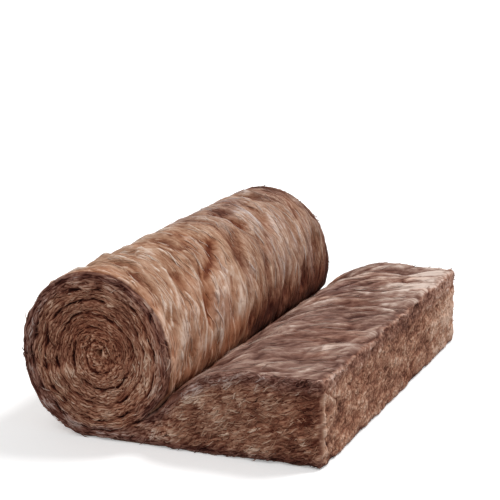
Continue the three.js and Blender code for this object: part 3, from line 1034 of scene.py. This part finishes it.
def attribute(tree, name, output="Fac"):
    """What the mesh says about a point under a name."""
    return node(tree, "ShaderNodeAttribute", output=output, attribute_name=name)


def noise(places, scale, turn=0.0, detail=2.0, roughness=0.5, output=0):
    """Noise on places that are scaled, so many waves to the metre, and turned about their second axis."""
    mapping = {"Vector": places, "Scale": scale, "Rotation": (0, turn, 0)}
    places = node(places.tree, "ShaderNodeMapping", mapping)
    inputs = {"Vector": places, "Scale": 1.0, "Detail": detail, "Roughness": roughness}
    return node(places.tree, "ShaderNodeTexNoise", inputs, output=output)


def mixed(share, first, second, blend="MIX"):
    """The first colour where a share is 0, and the second laid over it where it is 1."""
    inputs = {0: share, 6: first, 7: second}
    return node(share.tree, "ShaderNodeMix", inputs, output=2, data_type="RGBA", blend_type=blend)


def tinted(wool, share, tint):
    """Wool turned towards another hue, where a share from 0 to 1 says so."""
    return mixed(share, wool, tint, blend="MULTIPLY")


def above(value, threshold, slope):
    """0 below a threshold, rising to 1."""
    return maths("MULTIPLY", value - threshold, slope, clamp=True)


def line_at_zero(value, width):
    """1 where a value is 0, and 0 where it is further from it than a width."""
    return maths("SUBTRACT", 1.0, maths("DIVIDE", maths("ABSOLUTE", value), width), clamp=True)


def creases(pattern, width):
    """Thin lines where a noise passes its middle value."""
    return line_at_zero(pattern - 0.5, width)


def layer_gaps(places, spacing, width):
    """Lines that run round between layers, this far apart."""
    deep = node(places.tree, "ShaderNodeSeparateXYZ", {0: places}, output="Y")
    return line_at_zero(maths("SINE", deep * (math.pi / spacing)), width)


def drifted(places, scale, reach):
    """Places pushed about, so that a pattern on them doesn't run straight."""
    inputs = {0: noise(places, scale, detail=3, output=1), 1: reach, 2: places}
    return node(places.tree, "ShaderNodeVectorMath", inputs, operation="MULTIPLY_ADD")


# ---------------------------------------------------------------- the wool's material
def colour(*seen):
    """A colour as it is seen, from 0 to 255, in the linear values that a shader takes."""
    shares = [value / 255 for value in seen]
    return (*(c / 12.92 if c <= 0.04045 else ((c + 0.055) / 1.055) ** 2.4 for c in shares), 1)


# The wool's colours from its darkest to its palest, and the levels that they stand at.
LEVELS = (0.00, 0.25, 0.50, 0.72, 1.00)
OUTSIDE_WOOL = (70, 28, 18), (116, 70, 50), (160, 118, 92), (186, 150, 126), (224, 206, 192)
TOP_WOOL = (46, 22, 20), (84, 54, 46), (124, 91, 80), (160, 131, 118), (220, 200, 188)
SAWN_WOOL = (44, 11, 7), (92, 45, 32), (140, 91, 71), (180, 132, 107), (232, 202, 179)
CUT_WOOL = (50, 22, 16), (98, 59, 46), (148, 105, 85), (184, 144, 121), (226, 200, 182)
PALE_FIBRE_AND_HIGHLIGHT, RUST_STROKE = colour(228, 198, 174), colour(120, 66, 44)
MAUVE_TINT, RUST_TINT = colour(228, 234, 255), colour(255, 222, 202)
WOOL_SHEEN = {
    "Roughness": 0.95,
    "Specular IOR Level": 0.15,
    "Sheen Weight": 0.05,
    "Sheen Tint": colour(214, 170, 146),
}
OWN_TONE_WEIGHT = 0.15  # how much a loose strand's own tone counts
BUMP = {"Strength": 0.6, "Distance": 0.003}


def shaded(level, colours):
    """Wool in its own colours, from the darkest at level 0 to the palest at level 1."""
    ramp = node(level.tree, "ShaderNodeValToRGB", {0: level})
    elements = ramp.socket.node.color_ramp.elements
    while len(elements) < len(colours):
        elements.new(0.5)
    for element, position, seen in zip(elements, LEVELS, colours):
        element.position, element.color = position, colour(*seen)
    return ramp


def skin_finish(tree, level):
    """The blanket's outside: felted wool, brushed where it is combed, with reddish strokes and pale strands.
    """
    combed, top, rust_hue_and_shade = (attribute(tree, name) for name in ("combed", "top", "rust_hue_and_shade"))
    straight = attribute(tree, "skin_place", "Vector")
    where = drifted(straight, (12, 60, 12), (0.034, 0.0, 0.030))
    felt = (noise(where, (110, 1, 190), detail=4, roughness=0.75) - 0.5) * (0.70 * combed + 0.30)
    patches = (noise(where, (7, 1, 9), detail=3) - 0.5) * (0.25 * top + 0.40)
    wrinkles = creases(noise(where, (10, 1, 42), turn=0.1, detail=3, roughness=0.6), 0.022) * (1 - top)
    level = level + felt * 0.52 + patches - wrinkles * 0.10
    fibres = noise(where, (64, 1, 240), turn=0.15, detail=3, roughness=0.65)
    streaks = noise(where, (20, 1, 64), detail=4, roughness=0.62)
    level = level + combed * ((streaks - 0.5) * 0.46 + (fibres - 0.5) * 0.50)
    lumps = noise(straight, (20, 1, 34), turn=0.5, detail=4, roughness=0.65)
    flecks = noise(straight, (60, 1, 110), turn=0.5, detail=4, roughness=0.7)
    level = level + (1 - combed) * ((lumps - 0.5) * 0.50 + (flecks - 0.5) * 0.60)
    wool = mixed(top, shaded(level, OUTSIDE_WOOL), shaded(level, TOP_WOOL))
    cool = above(noise(where, (6, 1, 9), turn=0.4, detail=3), 0.50, 5.0) * combed
    wool = tinted(wool, maths("MINIMUM", attribute(tree, "mauve") + 0.7 * cool, 1.0), MAUVE_TINT)
    warm = above(noise(where, (7, 1, 10), turn=0.7, detail=3), 0.52, 5.0)
    wool = tinted(wool, maths("MINIMUM", rust_hue_and_shade + 0.5 * warm, 1.0), RUST_TINT)
    strokes = noise(where, (16, 1, 95), turn=0.12, roughness=0.45)
    strokes = above(strokes, 0.59, 9.0) * (0.62 - 0.35 * top)
    wool = mixed(strokes, wool, RUST_STROKE)
    # Pale strands and thin glints only on crests: partly pale fibres, partly painted highlights.
    glints = creases(noise(where, (13, 1, 48), turn=-0.1, detail=3, roughness=0.6), 0.020)
    wisps_and_highlights = above(noise(where, (15, 1, 84), detail=3), 0.60, 8.0) * combed * 0.85
    wisps_and_highlights = wisps_and_highlights + glints * (0.28 * combed + 0.22)
    wisps_and_highlights = wisps_and_highlights * above(attribute(tree, "crest"), 0.42, 6.0) * (1 - rust_hue_and_shade)
    raised = felt * 0.7 + fibres * combed * 0.6 + wisps_and_highlights * 0.5 - strokes * 0.4 - wrinkles * 0.5
    return mixed(wisps_and_highlights, wool, PALE_FIBRE_AND_HIGHLIGHT), raised


def sawn_finish(tree, level):
    """The ends: thin crumpled layers round the roll, with painted shade between them and painted highlights.
    """
    places = attribute(tree, "end_place", "Vector")
    where = drifted(places, (16, 30, 16), (0.024, 0.012, 0.024))
    where = drifted(where, (55, 80, 55), (0.016, 0.010, 0.016))
    layers = noise(where, (12, 110, 12), detail=3, roughness=0.65)
    fibres = noise(where, (28, 240, 28), detail=3, roughness=0.7)
    lines = maths("MAXIMUM", layer_gaps(where, 0.0080, 0.24), layer_gaps(where, 0.0043, 0.20) * 0.5)
    curls = above(noise(where, (24, 130, 24)), 0.62, 9.0)
    patches = noise(drifted(places, (9, 9, 9), (0.05, 0.03, 0.05)), (9, 16, 9), detail=3)
    # The lines are painted shade between the layers, and the curls are painted highlights.
    level = level + (layers - 0.5) * 0.50 + (fibres - 0.5) * 0.50 - lines * 0.34
    level = level + (patches - 0.5) * 0.14 + curls * 0.34
    rusty = above(noise(places, (7, 7, 7)), 0.50, 3.0) * 0.6
    wool = tinted(shaded(level, SAWN_WOOL), maths("MAXIMUM", rusty, attribute(tree, "rust_hue_and_shade")), RUST_TINT)
    raised = layers + fibres * 0.5 - lines * 0.6 + curls * 0.5
    return tinted(wool, attribute(tree, "mauve"), MAUVE_TINT), raised


def cut_finish(tree, level):
    """The sawn face of the free end: soft curled tufts and darker blotches."""
    places = node(tree, "ShaderNodeTexCoord", output="Object")
    where = drifted(places, (14, 14, 14), (0.0, 0.030, 0.020))
    where = drifted(where, (60, 60, 60), (0.0, 0.010, 0.010))
    tufts = noise(where, (1, 38, 80), detail=4, roughness=0.6)
    fibres = noise(where, (1, 120, 190), detail=3, roughness=0.6)
    curls = creases(noise(where, (1, 26, 44), detail=3, roughness=0.6), 0.040)
    blotches = noise(where, (1, 24, 15), detail=3)
    level = level + (tufts - 0.5) * 0.34 + (fibres - 0.5) * 0.20 + curls * 0.12 + (blotches - 0.5) * 0.56
    rusty = above(noise(places, (1, 8, 12)), 0.50, 4.0) * 0.3 + 0.3
    wool = tinted(shaded(level, CUT_WOOL), rusty, RUST_TINT)
    return tinted(wool, attribute(tree, "mauve"), MAUVE_TINT), tufts + fibres * 0.5 + curls * 0.4


def wool_material():
    """The wool: each face of the blanket has its own finish, and they blend where faces meet."""
    material = bpy.data.materials.new("brown_glass_wool")
    material.use_nodes = True
    tree = material.node_tree
    tree.nodes.clear()
    # The level starts from painted shade in creases and painted light on crests, and from the tone.
    level = attribute(tree, "crest") + attribute(tree, "tone")
    level = level + OWN_TONE_WEIGHT * attribute(tree, "own_tone")
    wool, raised = skin_finish(tree, level)
    for face, finish in (("cut", cut_finish), ("sawn", sawn_finish)):
        share = attribute(tree, face)
        other_wool, other_raised = finish(tree, level)
        wool = mixed(share, wool, other_wool)
        raised = raised + share * (other_raised - raised)
    bump = node(tree, "ShaderNodeBump", BUMP | {"Height": raised})
    shader = node(tree, "ShaderNodeBsdfPrincipled", WOOL_SHEEN | {"Base Color": wool, "Normal": bump})
    node(tree, "ShaderNodeOutputMaterial", {"Surface": shader})
    return material


# ---------------------------------------------------------------- loose strands
def strand_shape(tree, inputs, curl):
    """One strand: a thin closed spindle along X, bent up and to one side."""
    line = node(tree, "GeometryNodeCurvePrimitiveLine", {"Start": (-0.5, 0, 0), "End": (0.5, 0, 0)})
    line = node(tree, "GeometryNodeResampleCurve", {"Curve": line, "Count": STRAND_STATIONS})
    along = node(tree, "GeometryNodeSplineParameter", output="Factor") * 2.0 - 1.0
    swell = 1.0 - along * along
    to_side = maths("SINE", along * (math.pi * STRAND_BEND)) * curl if curl else swell
    place = {"X": along * 0.5 * inputs["Length"], "Y": to_side * inputs["Curl"], "Z": swell * inputs["Bend"]}
    place = node(tree, "ShaderNodeCombineXYZ", place)
    line = node(tree, "GeometryNodeSetPosition", {"Geometry": line, "Position": place})
    ring = node(tree, "GeometryNodeCurvePrimitiveCircle", {"Resolution": 3, "Radius": 0.5})
    flat = {0: node(tree, "GeometryNodeInputPosition"), 1: inputs["Section"]}
    flat = node(tree, "ShaderNodeVectorMath", flat, operation="MULTIPLY")
    section = node(tree, "GeometryNodeSetPosition", {"Geometry": ring, "Position": flat})
    sweep = {"Curve": line, "Profile Curve": section, "Scale": maths("POWER", swell, STRAND_TAPER)}
    mesh = node(tree, "GeometryNodeCurveToMesh", sweep)
    mesh = node(tree, "GeometryNodeMergeByDistance", {"Geometry": mesh, "Distance": 1e-6})
    mesh = node(tree, "GeometryNodeSetShadeSmooth", {"Geometry": mesh})
    return node(tree, "GeometryNodeGeometryToInstance", {"Geometry": mesh})


def any_shape(tree, inputs):
    """The three shapes that a strand can have: bent to one side or curled either way."""
    shapes = tree.nodes.new("GeometryNodeJoinGeometry")
    for curl in (-1.0, 0.0, 1.0):
        tree.links.new(strand_shape(tree, inputs, curl).socket, shapes.inputs[0])
    return Value(shapes.outputs[0])


def random_value(tree, kind, low, high, seed):
    """A chance value for each strand, the same on every run."""
    return node(tree, "FunctionNodeRandomValue", {"Min": low, "Max": high, "Seed": seed}, data_type=kind)


def named(tree, kind, name):
    """What is kept under a name for each point."""
    return node(tree, "GeometryNodeInputNamedAttribute", {"Name": name}, data_type=kind)


def kept(tree, kind, geometry, name, value, domain="POINT"):
    """The same geometry with a value kept under a name."""
    inputs = {"Geometry": geometry, "Name": name, "Value": value}
    return node(tree, "GeometryNodeStoreNamedAttribute", inputs, data_type=kind, domain=domain)


def strand_turn(tree, inputs):
    """How a strand is turned: flat on the surface and along its grain, and a little off at random."""
    lying = {
        "Primary Axis": named(tree, "FLOAT_VECTOR", "lift_way"),
        "Secondary Axis": named(tree, "FLOAT_VECTOR", "grain"),
    }
    lying = node(tree, "FunctionNodeAxesToRotation", lying)
    least = node(tree, "ShaderNodeVectorMath", {0: inputs["Turn"], 1: (-1, -1, -1)}, operation="MULTIPLY")
    off = random_value(tree, "FLOAT_VECTOR", least, inputs["Turn"], 11)
    off = node(tree, "FunctionNodeEulerToRotation", {"Euler": off})
    both = {"Rotation": lying, "Rotate By": off}
    return node(tree, "FunctionNodeRotateRotation", both, rotation_space="LOCAL")


def strand_tree():
    """Strands scattered over the faces that a mask names, lying along the grain."""
    tree = bpy.data.node_groups.new("scatter_strands", "GeometryNodeTree")
    face = tree.interface
    for name, kind in {"Geometry": "Geometry", **STRAND_INPUTS}.items():
        face.new_socket(name, in_out="INPUT", socket_type="NodeSocket" + kind)
    face.new_socket("Geometry", in_out="OUTPUT", socket_type="NodeSocketGeometry")
    inputs = {socket.name: Value(socket) for socket in tree.nodes.new("NodeGroupInput").outputs}

    density = named(tree, "FLOAT", inputs["Mask"]) * inputs["Density"]
    spread = {"Mesh": inputs["Geometry"], "Density": density, "Seed": inputs["Seed"]}
    points = node(tree, "GeometryNodeDistributePointsOnFaces", spread)
    strands = {
        "Points": kept(tree, "FLOAT_VECTOR", points, "lift_way", points.beside("Normal")),
        "Instance": any_shape(tree, inputs),
        "Pick Instance": True,
        "Instance Index": random_value(tree, "INT", 0, 2, 12),
        "Rotation": strand_turn(tree, inputs),
        "Scale": random_value(tree, "FLOAT_VECTOR", SMALLEST_STRAND, LARGEST_STRAND, 13),
    }
    strands = node(tree, "GeometryNodeInstanceOnPoints", strands)
    own_tone = random_value(tree, "FLOAT", inputs["Darkest"], inputs["Palest"], 14)
    strands = kept(tree, "FLOAT", strands, "own_tone", own_tone, domain="INSTANCE")
    strands = node(tree, "GeometryNodeRealizeInstances", {"Geometry": strands})
    painted = {"Geometry": strands, "Material": inputs["Material"]}
    node(tree, "NodeGroupOutput", {0: node(tree, "GeometryNodeSetMaterial", painted)})
    return tree


def loose_strands(name, body, tree, material, **values):
    """Strands over one face of the body, as a plain mesh."""
    obj = bpy.data.objects.new(name, body.data)
    bpy.context.scene.collection.objects.link(obj)
    scatter = obj.modifiers.new("Scatter", "NODES")
    scatter.node_group = tree
    values = {key.capitalize(): value for key, value in values.items()} | {"Material": material}
    for item in tree.interface.items_tree:
        if item.in_out == "INPUT" and item.name in values:
            scatter[item.identifier] = values[item.name]
    plain_mesh(obj, name)
    return obj


# ---------------------------------------------------------------- studio
def make_camera():
    """The camera, turned by an azimuth and an elevation and tilted about its own axis."""
    azimuth, elevation, roll = map(math.radians, (CAMERA_AZIMUTH, CAMERA_ELEVATION, CAMERA_ROLL))
    level = math.cos(elevation)
    forward = Vector((-math.sin(azimuth) * level, math.cos(azimuth) * level, -math.sin(elevation)))
    right = forward.cross(Vector((0, 0, 1))).normalized()
    up = right.cross(forward)
    turned_right = math.cos(roll) * right + math.sin(roll) * up
    turned_up = math.cos(roll) * up - math.sin(roll) * right
    turn = Matrix((turned_right, turned_up, -forward)).transposed().to_4x4()
    data = bpy.data.cameras.new("camera")
    data.lens, data.sensor_width = CAMERA_LENS, CAMERA_SENSOR
    camera = bpy.data.objects.new("camera", data)
    camera.matrix_world = Matrix.Translation(CAMERA_PLACE) @ turn
    bpy.context.scene.collection.objects.link(camera)
    bpy.context.scene.camera = camera


def make_lamp(name, direction, strength, softness):
    """A lamp like the sun, seen as a disc of that many degrees, so that it falls evenly on the floor."""
    data = bpy.data.lights.new(name, "SUN")
    data.energy, data.angle = strength, math.radians(softness)
    lamp = bpy.data.objects.new(name, data)
    lamp.rotation_euler = Vector(direction).to_track_quat("Z", "Y").to_euler()
    bpy.context.scene.collection.objects.link(lamp)


def floor_material():
    """Grey for the light that it throws back, and white with a faint glow where it is looked at."""
    material = bpy.data.materials.new("pale_floor")
    material.use_nodes = True
    tree = material.node_tree
    path = node(tree, "ShaderNodeLightPath", output="Is Camera Ray")
    seen = path
    for kind in ("Is Glossy Ray", "Is Transmission Ray"):
        seen = maths("MAXIMUM", seen, path.beside(kind))
    shader = tree.nodes["Principled BSDF"].inputs
    shader["Roughness"].default_value = 0.9
    shader["Emission Color"].default_value = WHITE
    tree.links.new(mixed(seen, FLOOR_GREY, WHITE).socket, shader["Base Color"])
    tree.links.new((seen * FLOOR_GLOW).socket, shader["Emission Strength"])
    return material


def make_floor():
    """A floor far wider than what is seen of it, just under the blanket."""
    mesh = bpy.data.meshes.new("floor")
    side = FLOOR_HALF_SIDE
    corners = [(-side, -side, 0), (side, -side, 0), (side, side, 0), (-side, side, 0)]
    mesh.from_pydata(corners, [], [(0, 1, 2, 3)])
    mesh.materials.append(floor_material())
    floor = bpy.data.objects.new("floor", mesh)
    floor.location.z = -FLOOR_DROP
    bpy.context.scene.collection.objects.link(floor)


def make_sky():
    """Even light from all round."""
    world = bpy.data.worlds.new("studio")
    world.use_nodes = True
    sky = world.node_tree.nodes["Background"].inputs
    sky["Color"].default_value = WHITE
    sky["Strength"].default_value = SKY_STRENGTH
    bpy.context.scene.world = world


make_camera()
body = blanket()
wool = wool_material()
body.data.materials.append(wool)
tree = strand_tree()
for name, values in LOOSE_STRANDS.items():
    piece = loose_strands(name, body, tree, wool, **values)
    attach(piece, "root")
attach(body, "root")
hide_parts("wool_blanket")
make_floor()
for lamp in LAMPS:
    make_lamp(*lamp)
make_sky()
bpy.context.scene.view_settings.view_transform = "Standard"
